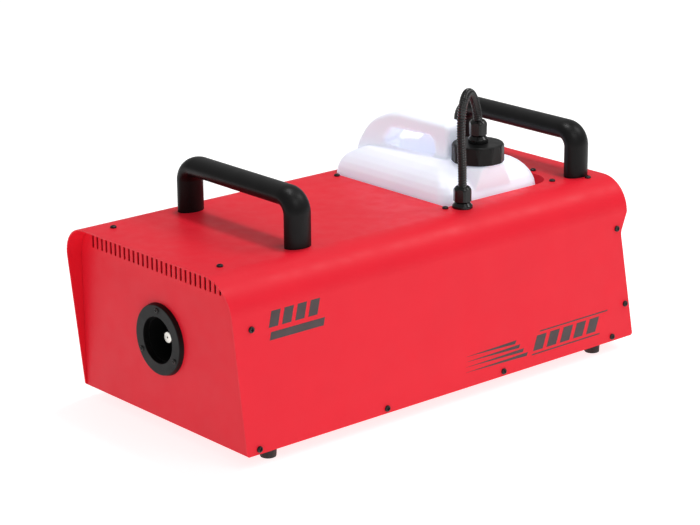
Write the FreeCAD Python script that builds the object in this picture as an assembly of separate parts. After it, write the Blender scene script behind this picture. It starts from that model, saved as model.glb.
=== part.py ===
import FreeCAD, Part
import math
import os
from FreeCAD import Vector

# Portable fog machine with a lift-out fluid tank. Millimetres.
# The pieces are drawn in the casing's own frame. The nozzle faces -Y, and +X is to the right for someone
# who looks at the nozzle. z = 0 is the underside of the casing and y = 0 the front lower edge of its cover.
# Export moves them so that the origin is the middle of the footprint, on the ground under the feet.

# Casing
casing_width = 285.0
casing_height = 187.25
casing_length = 563.4
shoulder_radius = 37.5
sheet = 1.5
fit_gap = 0.3
front_overhang = 19.8
rear_edge_slope = 0.189
rear_top_y = 548.3
notch_height = 127.5
foot_height = 15.0
edge_rounding = 3.0

# Panels
front_panel_y = 1.5
rear_panel_y = 562.0
flange_depth = 15.0
vent_count = 30
vent_pitch = 8.15
vent_width = 3.4
vent_low = 160.8
vent_high = 178.0

# Tank bay
bay_left = -116.0
bay_right = 87.0
bay_front = 322.0
bay_rear = 489.0
bay_corner = 30.0
tray_wall = 1.2
tray_floor = 9.0
tray_reveal = 0.5

# Tank and its screw cap
tank_left = -113.5
tank_right = 82.5
tank_front = 325.0
tank_rear = 485.5
tank_bottom = 10.5
tank_spring = 180.0
tank_crest = 219.0
tank_left_corner = 22.0
tank_right_corner = 16.0
tank_rear_corner = 40.0
tank_wall = 2.5
dome_reach = 58.0
neck_x = 54.0
neck_y = 400.0
neck_top = 236.5
neck_radius = 24.0
cap_bottom = 219.4
cap_top = 239.7
cap_radius = 29.0
cap_flats = 12
handle_turn = 8.2
loop_half = 16.5
loop_rim = 5.5
loop_rear_rim = 4.0
loop_foot = 206.0
pocket_floor = 212.5
web_front = 7.5
web_thickness = 4.0
cap_turn = 2.5

# Carrying handles
grip_half_width = 15.8
grip_half_depth = 10.9
post_x = 90.5
grip_height = 238.6
grip_bend = 17.0
front_grip_y = 111.2
rear_grip_y = 518.0

# Nozzle and heater
nozzle_z = 88.9
ring_radius = 39.0
ring_bore = 25.0
ring_thickness = 5.2
ring_face = 36.8
ring_screw_circle = 32.25
heater_front = 52.0
heater_rear = 242.0
heater_radius = 33.0
case_half = 52.0

# Conduit between the cover gland and the cap gland
gland_x = 98.7
gland_y = 334.6
conduit_radius = 5.0
tube_radius = 3.0

# Pump
pump_x = 102.0
pump_z = 42.0
pump_front = 212.0
pump_rear = 290.0

# Screws
small_thread = 2.0
small_head = 3.4

up = Vector(0, 0, 1)
to_right = Vector(1, 0, 0)
to_rear = Vector(0, 1, 0)
lean = math.degrees(math.atan(rear_edge_slope))


# ---------------------------------------------------------------- shape helpers

def box(x0, x1, y0, y1, z0, z1):
    return Part.makeBox(x1 - x0, y1 - y0, z1 - z0, Vector(x0, y0, z0))


def rod(radius, start, end):
    start = Vector(*start)
    run = Vector(*end) - start
    return Part.makeCylinder(radius, run.Length, start, run)


def joined(shapes):
    whole = shapes[0]
    for shape in shapes[1:]:
        whole = whole.fuse(shape)
    return whole.removeSplitter()


def less(shape, cuts):
    for cut in cuts:
        shape = shape.cut(cut)
    return shape


def turned_about(shape, degrees, axis, centre=Vector(0, 0, 0)):
    moved = shape.copy()
    moved.rotate(centre, axis, degrees)
    return moved


def shifted(shape, x, y, z):
    moved = shape.copy()
    moved.translate(Vector(x, y, z))
    return moved


def corner_arc(before, corner, after, radius):
    """First, middle and last point of the arc that rounds a corner."""
    to_before = (before - corner).normalize()
    to_after = (after - corner).normalize()
    half = to_before.getAngle(to_after) / 2
    trim = radius / math.tan(half)
    inward = (to_before + to_after).normalize()
    middle = corner + inward * (radius / math.sin(half) - radius)
    return corner + to_before * trim, middle, corner + to_after * trim


def rounded_face(points, radii):
    """Closed flat face whose corners are rounded by the radii."""
    count = len(points)
    arcs = []
    for i in range(count):
        if radii[i] > 0:
            arcs.append(corner_arc(points[i - 1], points[i], points[(i + 1) % count], radii[i]))
        else:
            arcs.append((points[i], None, points[i]))
    edges = []
    for i in range(count):
        first, middle, last = arcs[i]
        if middle is not None:
            edges.append(Part.Arc(first, middle, last).toShape())
        following = arcs[(i + 1) % count][0]
        if (following - last).Length > 1e-6:
            edges.append(Part.LineSegment(last, following).toShape())
    return Part.Face(Part.Wire(edges))


def plate_xy(corners, z0, z1):
    face = rounded_face([Vector(x, y, z0) for x, y, r in corners], [r for x, y, r in corners])
    return face.extrude(Vector(0, 0, z1 - z0))


def plate_xz(corners, y0, y1):
    face = rounded_face([Vector(x, y0, z) for x, z, r in corners], [r for x, z, r in corners])
    return face.extrude(Vector(0, y1 - y0, 0))


def plate_yz(corners, x0, x1):
    face = rounded_face([Vector(x0, y, z) for y, z, r in corners], [r for y, z, r in corners])
    return face.extrude(Vector(x1 - x0, 0, 0))


def rectangle(a0, a1, b0, b1, radius):
    return [(a0, b0, radius), (a1, b0, radius), (a1, b1, radius), (a0, b1, radius)]


def turned(corners):
    """Solid of revolution about Z from (radius, height, rounding) corners."""
    face = rounded_face([Vector(r, 0, h) for r, h, c in corners], [c for r, h, c in corners])
    return face.revolve(Vector(0, 0, 0), up, 360)


def prism(sides, across, height):
    """Regular prism about Z, across its flats."""
    radius = across / 2 / math.cos(math.pi / sides)
    ring = [2 * math.pi * (i + 0.5) / sides for i in range(sides + 1)]
    wire = Part.makePolygon([Vector(radius * math.cos(a), radius * math.sin(a), 0) for a in ring])
    return Part.Face(wire).extrude(Vector(0, 0, height))


def pan_head_screw(head_radius, thread_radius, length):
    """Cross-recessed pan head screw: the underside of its head is z = 0 and its thread points down."""
    head_height = head_radius * 0.68
    head = turned([(0, 0, 0), (head_radius, 0, 0), (head_radius, head_height, head_height * 0.6), (0, head_height, 0)])
    arm = head_radius * 0.62
    blade = head_radius * 0.17
    recess = joined([
        box(-arm, arm, -blade, blade, head_height * 0.35, head_height + 1),
        box(-blade, blade, -arm, arm, head_height * 0.35, head_height + 1),
    ])
    thread = rod(thread_radius, (0, 0, 0.01), (0, 0, -length))
    return joined([head.cut(recess), thread])


def set_screw(screw, place, direction, spin=20):
    """Put a screw's head on a surface, with its head towards the direction."""
    moved = turned_about(screw, spin, up)
    stand = FreeCAD.Placement(Vector(*place), FreeCAD.Rotation(up, Vector(*direction)))
    moved.Placement = stand.multiply(moved.Placement)
    return moved


def group(solids):
    return Part.makeCompound(solids)


def tube_route(points):
    """Straight runs joined by tangent arcs, each arc as large as its two runs allow."""
    points = [Vector(*p) for p in points]
    edges = []
    at = points[0]
    for before, corner, after in zip(points, points[1:], points[2:]):
        shorter = min((corner - before).Length, (after - corner).Length)
        turn = (corner - before).getAngle(after - corner)
        radius = 0.45 * shorter / math.tan(turn / 2)
        first, middle, last = corner_arc(before, corner, after, radius)
        edges.append(Part.LineSegment(at, first).toShape())
        edges.append(Part.Arc(first, middle, last).toShape())
        print("route arc radius %.1f" % radius)
        at = last
    edges.append(Part.LineSegment(at, points[-1]).toShape())
    return Part.Wire(edges)


def swept_tube(points, outer, inner):
    """Round tube along a route."""
    route = tube_route(points)
    start = Vector(*points[0])
    heading = Vector(*points[1]) - start
    skins = []
    for radius in (outer, inner):
        ring = Part.Wire(Part.makeCircle(radius, start, heading))
        skins.append(route.makePipeShell([ring], True, False))
    tube = skins[0].cut(skins[1])
    section = math.pi * (outer ** 2 - inner ** 2)
    print("tube length %.1f, volume over section %.1f" % (route.Length, tube.Volume / section))
    return tube


def on_rear_panel(shape):
    """From the rear panel's frame (x across, y out of the panel, z up the panel) to the casing."""
    moved = turned_about(shape, lean, to_right)
    moved.translate(Vector(0, rear_panel_y, 0))
    return moved


def facing_rear(shape, x, z):
    """A part drawn along +Z, turned to stand out of the rear panel at x, z."""
    return on_rear_panel(shifted(turned_about(shape, -90, to_right), x, 0, z))


def facing_front(shape, y):
    """A part drawn along +Z, turned to face -Y on the nozzle's axis."""
    return shifted(turned_about(shape, 90, to_right), 0, y, nozzle_z)


# ---------------------------------------------------------------- casing

def casing_prism(inset, bottom):
    """The inside or outside of the cover's bent section, along the whole length."""
    half = casing_width / 2 - inset
    top = casing_height - inset
    bend = shoulder_radius - inset
    corners = [(-half, bottom, 0), (half, bottom, 0), (half, top, bend), (-half, top, bend)]
    return plate_xz(corners, -60, casing_length + 60)


def bay_outline(offset):
    """Outline of the tank's bay, grown outwards by the offset."""
    return [
        (bay_left - offset, bay_front - offset, bay_corner + offset),
        (bay_right + offset, bay_front - offset, 4 + offset),
        (bay_right + offset, bay_rear + offset, bay_corner + offset),
        (bay_left - offset, bay_rear + offset, bay_corner + offset),
    ]


top_screw_places = [
    (-91.5, 10.0),
    (91.5, 10.0),
    (-90.0, 317.5),
    (90.0, 317.5),
    (-43.0, 497.6),
    (43.0, 497.6),
    (-109.0, 487.0),
    (89.5, 481.5),
    (-106.7, 521.0),
    (106.7, 521.0),
]
side_screw_places = [
    (7.9, 134.3),
    (532.0, 133.3),
    (549.0, 40.8),
    (15.3, 5.6),
    (186.7, 5.6),
    (356.9, 5.6),
    (528.8, 5.6),
]
grip_places = [front_grip_y, rear_grip_y]
foot_places = [(-122.0, 42.5), (122.0, 42.5), (-122.0, 518.0), (122.0, 518.0)]


def top_level(x):
    """Height of the cover's outer skin over x."""
    past = abs(x) - (casing_width / 2 - shoulder_radius)
    if past <= 0:
        return casing_height
    return casing_height - shoulder_radius + math.sqrt(shoulder_radius ** 2 - past ** 2)


def casing_screw_holes():
    """Clearance holes for every screw that passes the cover."""
    hole = small_thread + 0.15
    holes = [rod(hole, (x, y, casing_height - 12), (x, y, casing_height + 5)) for x, y in top_screw_places]
    for y, z in side_screw_places:
        holes.append(rod(hole, (-casing_width / 2 - 2, y, z), (-casing_width / 2 + 6, y, z)))
        holes.append(rod(hole, (casing_width / 2 - 6, y, z), (casing_width / 2 + 2, y, z)))
    return holes


def grip_screw_holes(radius):
    holes = []
    for y in grip_places:
        for x in (-post_x, post_x):
            holes.append(rod(radius, (x, y, casing_height - 8), (x, y, casing_height + 22)))
    return holes


def top_cover():
    shell = casing_prism(0, 0).cut(casing_prism(sheet, -5))
    lip = 1.07
    side_view = [
        (0, 0, edge_rounding),
        (casing_length, 0, edge_rounding),
        (casing_length - rear_edge_slope * notch_height, notch_height, 12),
        (rear_top_y, 150, 8),
        (rear_top_y, casing_height * lip, 0),
        (-front_overhang * lip, casing_height * lip, 0),
    ]
    shell = shell.common(plate_yz(side_view, -casing_width, casing_width))
    bay = plate_xy(bay_outline(0), casing_height - 40, casing_height + 5)
    gland_hole = rod(6.3, (gland_x, gland_y, casing_height - 5), (gland_x, gland_y, casing_height + 5))
    return less(shell, [bay, gland_hole] + casing_screw_holes() + grip_screw_holes(3.3))


def front_panel():
    inset = sheet + fit_gap
    flat = casing_prism(inset, fit_gap).common(
        box(-200, 200, front_panel_y, front_panel_y + sheet, -5, 300))
    half = casing_width / 2 - inset
    top = casing_height - inset
    back = front_panel_y + flange_depth
    flanges = [box(-100, 100, front_panel_y, back, top - sheet, top), box(-125, 125, front_panel_y, back, 1.8, 3.3)]
    flanges.extend([
        box(-half, sheet - half, front_panel_y, back, 22, 145),
        box(half - sheet, half, front_panel_y, back, 22, 145),
    ])
    panel = joined([flat] + flanges)
    slots = []
    for i in range(vent_count):
        x = (i - (vent_count - 1) / 2) * vent_pitch
        slot = rectangle(x - vent_width / 2, x + vent_width / 2, vent_low, vent_high, vent_width * 0.49)
        slots.append(plate_xz(slot, -1, front_panel_y + sheet + 1))
    nozzle_hole = rod(26.0, (0, -5, nozzle_z), (0, 10, nozzle_z))
    return less(panel, slots + [nozzle_hole] + ring_screw_rods(1.65) + casing_screw_holes())


def rear_panel():
    inset = sheet + fit_gap
    slab = on_rear_panel(box(-200, 200, -sheet, 0, -20, 260))
    flat = casing_prism(inset, fit_gap).common(slab)
    half = casing_width / 2 - inset
    top = casing_height - inset
    cut_plane = on_rear_panel(box(-200, 200, -200, 0, -20, 260))
    flanges = [
        box(-112, 112, 512, 540, top - sheet, top).common(casing_prism(inset, 0)),
        box(-112, 112, 546, 570, 1.8, 3.3),
        on_rear_panel(box(-half, sheet - half, -flange_depth, 0, 22, 143)),
        on_rear_panel(box(half - sheet, half, -flange_depth, 0, 22, 143)),
    ]
    panel = joined([flat] + [f.common(cut_plane) for f in flanges])
    bolt_room = [rod(9.0, (x, rear_grip_y, 150), (x, rear_grip_y, 200)) for x in (-post_x, post_x)]
    return less(panel, panel_cutouts() + casing_screw_holes() + bolt_room)


def base_pan():
    half = casing_width / 2 - sheet - fit_gap
    floor = box(-half, half, front_panel_y + sheet + fit_gap, 558, 0, sheet)
    sides = []
    for x in (-half, half - sheet):
        sides.append(box(x, x + sheet, front_panel_y + flange_depth + 1, 540, 0, 18))
        sides.append(box(x, x + sheet, front_panel_y + sheet + fit_gap, 552, 0, 14))
    pan = joined([floor] + sides)
    slots = []
    for row in range(5):
        for column in range(9):
            x = (column - 4) * 12.0
            y = 90 + row * 34.0
            slots.append(plate_xy(rectangle(x - 2, x + 2, y - 12, y + 12, 1.9), -1, sheet + 1))
    feet = [rod(2.2, (x, y, -1), (x, y, sheet + 1)) for x, y in foot_places]
    return less(pan, slots + feet + casing_screw_holes())


def tank_tray():
    top = casing_height - sheet - 0.1
    outer = plate_xy(bay_outline(tray_reveal + tray_wall), tray_floor - tray_wall, top)
    flange = plate_xy(rectangle(bay_left + 2, bay_right + 11, bay_front - 13, bay_rear + 14, 4), top - tray_wall, top)
    inner = plate_xy(bay_outline(tray_reveal), tray_floor, top + 5)
    gland_room = rod(11.6, (gland_x, gland_y, 150), (gland_x, gland_y, 200))
    tray = joined([outer, flange.cut(gland_room)]).cut(inner)
    drain = rod(4.0, (0, bay_front + 20, 0), (0, bay_front + 20, 20))
    tray = tray.common(casing_prism(sheet + 0.1, -5))
    return less(tray, [drain] + casing_screw_holes())


def oval(centre, first, second):
    """Flat oval face from its centre and its two half axes."""
    ring = Part.Ellipse(centre + first, centre + second, centre)
    return Part.Face(Part.Wire([ring.toShape()]))


def grip(y):
    """Tubular carrying handle: two posts and a bar of one oval section, with round bends."""
    bend_z = grip_height - grip_bend
    bend_x = post_x - grip_bend
    across = Vector(0, grip_half_width, 0)
    pieces = []
    for side in (-1, 1):
        foot_face = oval(Vector(side * post_x, y, casing_height), across, Vector(grip_half_depth, 0, 0))
        pieces.append(foot_face.extrude(Vector(0, 0, bend_z - casing_height)))
        bend_face = oval(Vector(side * post_x, y, bend_z), across, Vector(grip_half_depth, 0, 0))
        pieces.append(bend_face.revolve(Vector(side * bend_x, y, bend_z), Vector(0, -side, 0), 90))
    bar_face = oval(Vector(-bend_x, y, grip_height), across, Vector(0, 0, grip_half_depth))
    pieces.append(bar_face.extrude(Vector(2 * bend_x, 0, 0)))
    return less(joined(pieces), grip_screw_holes(3.05))


def grip_screws():
    """Hexagon head bolts that hold the handles from inside the cover, with their washers."""
    bolts = []
    for y in grip_places:
        for x in (-post_x, post_x):
            head = shifted(prism(6, 10, 4.0), x, y, casing_height - sheet - 1.2 - 4.0)
            washer = rod(8.0, (x, y, casing_height - sheet - 1.2), (x, y, casing_height - sheet))
            thread = rod(3.0, (x, y, casing_height - sheet - 1.5), (x, y, casing_height + 20))
            bolts.append(joined([head, washer, thread]))
    return group(bolts)


def cover_screws():
    """The cover's screws: ten from above and seven in each side."""
    screw = pan_head_screw(small_head, small_thread, 6.5)
    half = casing_width / 2
    placed = []
    for i, (x, y) in enumerate(top_screw_places):
        placed.append(set_screw(screw, (x, y, top_level(abs(x) - small_head)), (0, 0, 1), 17 * i))
    for i, (y, z) in enumerate(side_screw_places):
        placed.append(set_screw(screw, (half, y, z), (1, 0, 0), 23 * i))
        placed.append(set_screw(screw, (-half, y, z), (-1, 0, 0), 31 * i))
    return group(placed)


def foot(x, y):
    """Tapered rubber foot with a pocket for its screw's head."""
    outside = turned([(0, 0, 0), (8.5, 0, 1.2), (9.3, foot_height, 0.6), (0, foot_height, 0)])
    pocket = rod(4.4, (0, 0, -1), (0, 0, 7))
    hole = rod(2.1, (0, 0, 6), (0, 0, foot_height + 1))
    return shifted(less(outside, [pocket, hole]), x, y, -foot_height)


def foot_screws():
    solids = []
    for x, y in foot_places:
        head = rod(3.6, (x, y, -foot_height + 4.4), (x, y, -foot_height + 7))
        thread = rod(2.0, (x, y, -foot_height + 6), (x, y, 8))
        nut = shifted(prism(6, 7, 3.2), x, y, sheet)
        solids.append(joined([head, thread, nut]))
    return group(solids)


# ---------------------------------------------------------------- nozzle and heater

def around(radius, angles, x, z):
    """Places on a circle in an upright plane."""
    return [(x + radius * math.cos(math.radians(a)), z + radius * math.sin(math.radians(a))) for a in angles]


def ring_screw_places():
    return around(ring_screw_circle, (90, 210, 330), 0, nozzle_z)


def ring_screw_rods(radius):
    return [rod(radius, (x, -8, z), (x, 12, z)) for x, z in ring_screw_places()]


def nozzle_ring():
    """Thick ring on the front panel, with a sleeve that lines the panel's hole."""
    ring = turned([
        (ring_bore, -ring_thickness - sheet - 0.2, 0),
        (ring_bore + 0.7, -ring_thickness - sheet - 0.2, 0),
        (ring_bore + 0.7, -ring_thickness, 0),
        (ring_radius, -ring_thickness, 0),
        (ring_face + 0.8, 0, 1.0),
        (ring_bore, 0, 0.5),
    ])
    recesses = [rod(3.3, (x, -9, z), (x, front_panel_y - ring_thickness + 0.7, z)) for x, z in ring_screw_places()]
    return less(facing_front(ring, front_panel_y - ring_thickness), ring_screw_rods(1.65) + recesses)


def panel_screws():
    """Three screws in the nozzle ring and two in each mains and data socket."""
    screw = pan_head_screw(2.9, 1.5, 8)
    placed = []
    for i, (x, z) in enumerate(ring_screw_places()):
        placed.append(set_screw(screw, (x, front_panel_y - ring_thickness + 0.7, z), (0, -1, 0), 50 * i))
    for x, z in panel_screw_places():
        placed.append(facing_rear(shifted(screw, 0, 0, 2.0), x, z))
    return group(placed)


def nozzle_cup():
    """Deep cup behind the ring that shields the hot nozzle."""
    cup = turned([
        (25.6, -sheet - 0.3, 0),
        (23.6, -sheet - 0.3, 0),
        (22.2, -34.0, 2.0),
        (7.4, -34.0, 0),
        (7.4, -35.4, 0),
        (23.6, -35.4, 2.0),
    ])
    return facing_front(cup, front_panel_y)


def nozzle_tip():
    """Turned jet with a hexagon and a fine bore, screwed on the heater's outlet pipe."""
    face = turned([(0, 0, 0), (6.3, 0, 0), (6.3, 3.6, 0.9), (0, 3.6, 0)])
    hexagon = shifted(prism(6, 10.5, 7), 0, 0, -7)
    pipe = rod(4.0, (0, 0, -42), (0, 0, -7))
    bore = rod(1.1, (0, 0, -50), (0, 0, 10))
    return facing_front(less(joined([face, hexagon, pipe]), [bore]), 12.8)


def heater_core():
    """Cast heat exchanger: a finned round billet with the two element bores and the fluid bore."""
    billet = rod(heater_radius, (0, heater_front + 3, nozzle_z), (0, heater_rear, nozzle_z))
    boss = rod(12, (0, heater_front + 2.8, nozzle_z), (0, heater_rear, nozzle_z))
    grooves = []
    for i in range(12):
        y = heater_front + 16 + i * 14.0
        ring = rod(heater_radius + 1, (0, y, nozzle_z), (0, y + 5, nozzle_z))
        grooves.append(ring.cut(rod(heater_radius - 3, (0, y - 1, nozzle_z), (0, y + 6, nozzle_z))))
    bores = [rod(5.1, (x, heater_front + 20, nozzle_z), (x, heater_rear + 1, nozzle_z)) for x in (-18, 18)]
    inlet = rod(4.2, (20, 150, nozzle_z + 10), (40, 150, nozzle_z + 10))
    return less(joined([billet, boss]), grooves + bores + [inlet])


def heater_elements():
    solids = []
    for x in (-18, 18):
        sheath = rod(5.0, (x, heater_front + 21, nozzle_z), (x, heater_rear + 14, nozzle_z))
        terminal = rod(1.6, (x, heater_rear + 13, nozzle_z), (x, heater_rear + 24, nozzle_z))
        solids.append(joined([sheath, terminal]))
    return group(solids)


def heater_insulation():
    """Mineral wool block between the heat exchanger and its case."""
    half = case_half - 1.3
    wool = box(-half, half, heater_front - 6, heater_rear + 6, nozzle_z - half, nozzle_z + half)
    core = rod(heater_radius + 0.4, (0, heater_front + 2.4, nozzle_z), (0, heater_rear + 0.4, nozzle_z))
    front_hole = rod(6.0, (0, heater_front - 10, nozzle_z), (0, heater_front + 10, nozzle_z))
    elements = [rod(6.0, (x, heater_rear, nozzle_z), (x, heater_rear + 10, nozzle_z)) for x in (-18, 18)]
    inlet = rod(6.0, (20, 150, nozzle_z + 10), (60, 150, nozzle_z + 10))
    return less(wool, [core, front_hole, inlet] + elements)


def heater_case():
    outside = box(-case_half, case_half, heater_front - 8, heater_rear + 8, nozzle_z - case_half, nozzle_z + case_half)
    inner = case_half - 1.0
    hollow = box(-inner, inner, heater_front - 7, heater_rear + 7, nozzle_z - inner, nozzle_z + inner)
    front_hole = rod(8.0, (0, heater_front - 10, nozzle_z), (0, heater_front, nozzle_z))
    elements = [rod(7.0, (x, heater_rear, nozzle_z), (x, heater_rear + 10, nozzle_z)) for x in (-18, 18)]
    inlet = rod(6.0, (40, 150, nozzle_z + 10), (60, 150, nozzle_z + 10))
    return less(outside, [hollow, front_hole, inlet] + elements)


def heater_brackets():
    solids = []
    for y in (70.0, 210.0):
        parts = [box(-case_half - 1.4, case_half + 1.4, y, y + 18, nozzle_z - case_half - 1.4, nozzle_z - case_half - 0.1)]
        for side in (-1, 1):
            legs = sorted((side * (case_half + 0.1), side * (case_half + 1.4)))
            feet = sorted((side * (case_half + 0.1), side * (case_half + 14)))
            parts.append(box(legs[0], legs[1], y, y + 18, sheet, nozzle_z))
            parts.append(box(feet[0], feet[1], y, y + 18, sheet, sheet + 1.3))
        solids.append(joined(parts))
    return group(solids)


def thermal_cutout():
    """Bimetal disc switch on top of the heater's case."""
    base = shifted(rod(9.0, (0, 0, 0), (0, 0, 5)), 0, 180, nozzle_z + case_half)
    top = shifted(rod(6.5, (0, 0, 4.5), (0, 0, 10)), 0, 180, nozzle_z + case_half)
    tabs = [box(x - 0.4, x + 0.4, 177, 183, nozzle_z + case_half + 9, nozzle_z + case_half + 17) for x in (-3.5, 3.5)]
    return joined([base, top] + tabs)


# ---------------------------------------------------------------- pump and fluid lines

def pump_rod(radius, y0, y1):
    return rod(radius, (pump_x, y0, pump_z), (pump_x, y1, pump_z))


def pump_coil():
    """Overmoulded bobbin and winding of the solenoid pump, with its two terminals."""
    body = box(pump_x - 17, pump_x + 17, 230, 266, pump_z - 15, pump_z + 15)
    tabs = [box(x - 3, x + 3, 246, 246.8, pump_z + 14.9, pump_z + 24) for x in (pump_x - 8, pump_x + 8)]
    return less(joined([body] + tabs), [pump_rod(9.1, 200, 300)])


def pump_yoke():
    """Steel strap that closes the coil's magnetic circuit."""
    frame = box(pump_x - 19, pump_x + 19, 227.5, 268.5, pump_z - 17.3, pump_z + 13)
    window = box(pump_x - 17.1, pump_x + 17.1, 229.9, 266.1, pump_z - 15.1, pump_z + 20)
    return less(frame, [window, pump_rod(9.1, 200, 300)])


def pump_barrel():
    """Barrel with the outlet spigot in front and the inlet spigot behind."""
    outside = joined([
        pump_rod(9.0, 224, 272),
        pump_rod(11.5, 272, 277),
        pump_rod(3.2, 276, pump_rear),
        pump_rod(11.5, 219, 224),
        pump_rod(3.2, pump_front, 220),
    ])
    return less(outside, [pump_rod(6.0, 228, 270), pump_rod(1.4, pump_front - 2, pump_rear + 2)])


def pump_plunger():
    return less(pump_rod(5.95, 236, 258), [pump_rod(1.4, 230, 262)])


def pump_spring():
    """Return spring as its closed coils, between the plunger and the outlet end."""
    rings = [Part.makeTorus(4.8, 0.7, Vector(pump_x, 229.0 + 1.55 * i, pump_z), to_rear) for i in range(5)]
    return group(rings)


def pump_bracket():
    floor = box(pump_x - 22, pump_x + 22, 222, 274, 12, 13.5)
    left = box(pump_x - 22, pump_x - 20.5, 222, 274, 12, 46)
    right = box(pump_x + 20.5, pump_x + 22, 222, 274, 12, 46)
    clamp = box(pump_x - 22, pump_x + 22, 240, 256, pump_z - 18.8, pump_z - 17.4)
    return joined([floor, left, right, clamp])


def pump_dampers():
    """Rubber mounts between the pump's bracket and the base."""
    damper = turned([(0, 0, 0), (6.5, 0, 0), (5.0, 5.2, 1.5), (6.5, 10.4, 0), (0, 10.4, 0)])
    return group([shifted(damper, pump_x, y, sheet + 0.05) for y in (232.0, 264.0)])


suction_route = [
    (gland_x, gland_y, 176.5),
    (gland_x + 0.6, gland_y + 0.4, 150.0),
    (gland_x - 0.6, gland_y - 0.6, 108.0),
    (gland_x + 2.2, gland_y - 3.0, 72.0),
    (pump_x + 1.0, gland_y - 14.0, 48.0),
    (pump_x, pump_rear + 12.0, pump_z),
    (pump_x, pump_rear + 0.1, pump_z),
]
delivery_route = [
    (pump_x, pump_front - 0.1, pump_z),
    (pump_x, pump_front - 16.0, pump_z),
    (pump_x + 2.0, 180.0, 51.0),
    (pump_x + 3.0, 162.0, 72.0),
    (pump_x - 4.0, 151.0, 92.0),
    (pump_x - 22.0, 150.0, nozzle_z + 10.0),
    (pump_x - 36.0, 150.0, nozzle_z + 10.0),
]


def heater_inlet():
    """Compression fitting that carries the fluid from the delivery line into the heat exchanger."""
    stem = rod(4.1, (30.5, 150, nozzle_z + 10), (case_half + 2, 150, nozzle_z + 10))
    hexagon = turned_about(prism(6, 11, 9), 90, Vector(0, 1, 0))
    hexagon = shifted(hexagon, case_half + 1.5, 150, nozzle_z + 10)
    bore = rod(1.6, (20, 150, nozzle_z + 10), (80, 150, nozzle_z + 10))
    spigot = rod(tube_radius, (case_half + 9, 150, nozzle_z + 10), (pump_x - 36.1, 150, nozzle_z + 10))
    return less(joined([stem, hexagon, spigot]), [bore])


# ---------------------------------------------------------------- conduit and its glands

gland_flange = 2.6
gland_nut_low = 6.8
gland_nut_high = 23.4
cap_seal = 1.6
cap_gland_level = cap_top + fit_gap + cap_seal


def gland_body(reach, seal=0.0):
    """Body of a cable gland over its seal. The underside of its flange is z = 0 and its stem reaches below."""
    outside = turned([
        (0, -reach, 0),
        (6.0, -reach, 0.6),
        (6.0, -seal, 0),
        (11.2, -seal, 0),
        (11.2, gland_flange, 1.2),
        (7.6, gland_nut_low, 1.5),
        (7.6, 15.0, 0.5),
        (0, 15.0, 0),
    ])
    mouth = rod(conduit_radius + fit_gap, (0, 0, 7), (0, 0, 30))
    bore = rod(3.4, (0, 0, -reach - 5), (0, 0, 30))
    return less(outside, [mouth, bore])


def gland_nut():
    """Domed sealing nut with six wide wrench flats."""
    dome = turned([
        (0, gland_nut_low + 0.4, 0),
        (9.9, gland_nut_low + 0.4, 0.8),
        (9.9, gland_nut_high - 3, 3.5),
        (7.4, gland_nut_high, 0.8),
        (0, gland_nut_high, 0),
    ])
    hollow = rod(7.7, (0, 0, 0), (0, 0, 15.4))
    mouth = rod(conduit_radius + fit_gap, (0, 0, 0), (0, 0, 40))
    flare = Part.makeCone(conduit_radius, conduit_radius + 1.9, 5.0, Vector(0, 0, gland_nut_high - 4.9))
    return less(dome.common(prism(6, 18.4, 30)), [hollow, mouth, flare])


def gland_locknut(z_low, z_high):
    return less(shifted(prism(6, 17, z_high - z_low), 0, 0, z_low), [rod(6.05, (0, 0, z_low - 1), (0, 0, z_high + 1))])


conduit_route = [
    (98.7, 334.6, 199.0),
    (99.2, 333.9, 222.5),
    (101.0, 331.3, 245.5),
    (103.5, 327.6, 267.0),
    (103.8, 327.2, 288.0),
    (97.6, 336.3, 304.0),
    (87.4, 351.1, 309.5),
    (77.0, 366.4, 305.0),
    (67.7, 380.0, 295.0),
    (59.6, 391.8, 281.0),
    (54.1, 399.8, 266.0),
    (54.0, 400.0, 252.5),
]


def fluid_conduit():
    """Flexible corrugated conduit over the suction tube, drawn as a plain tube."""
    return swept_tube(conduit_route, conduit_radius, 3.6)


# ---------------------------------------------------------------- tank


def on_neck(shape):
    """From the tank handle's frame (x away from the neck, y towards the nozzle's end, z up) to the casing."""
    return shifted(turned_about(shape, 180 + handle_turn, up), neck_x, neck_y, 0)


def tank_loop():
    """Loop handle moulded on the tank: a deep grip pocket in front, with a gusset web behind its lower half."""
    outline = [
        (30, loop_foot, 0),
        (135, loop_foot, 0),
        (150, 192, 0),
        (166, 192, 0),
        (166, 213, 38),
        (146, 244.5, 58),
        (112, 260.5, 70),
        (60, 257.5, 30),
        (30, 255.8, 8),
    ]
    pocket = [(49, 218, 7), (127, 221.5, 4), (112, 240.5, 7), (52, 240.5, 11)]
    window = [(123, 222.5, 2), (92, 226.8, 4), (77, 239.5, 2), (110, 239.5, 5)]
    solid = plate_xz(outline, -loop_half, loop_half)
    front_pocket = plate_xz(pocket, -web_front, loop_half + 1)
    rear_pocket = plate_xz(pocket, -loop_half - 1, -web_front - web_thickness)
    solid = less(solid, [front_pocket, rear_pocket])
    for side, rim in ((1, loop_rim), (-1, loop_rear_rim)):
        edges = [e for e in solid.Edges if e.BoundBox.YLength < 0.01 and e.BoundBox.ZMax > loop_foot + 1]
        solid = solid.makeFillet(rim, [e for e in edges if abs(e.BoundBox.YMin - side * loop_half) < 0.01])
    return on_neck(solid.cut(plate_xz(window, -loop_half, loop_half)))


def pocket_room():
    """The floor of the grip pocket, sunk a little into the tank's domed top."""
    floor = [(54, pocket_floor, 3), (117, pocket_floor, 3), (117, pocket_floor + 10, 2), (54, pocket_floor + 10, 2)]
    return on_neck(plate_xz(floor, -web_front, loop_half - 5))


def dome_inset(level, sharpness):
    """How far the tank's wall has come in at a level of its domed top."""
    rise = (level - tank_spring) / (tank_crest - tank_spring)
    return dome_reach * (1 - (1 - rise ** sharpness) ** (1 / sharpness))


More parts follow.
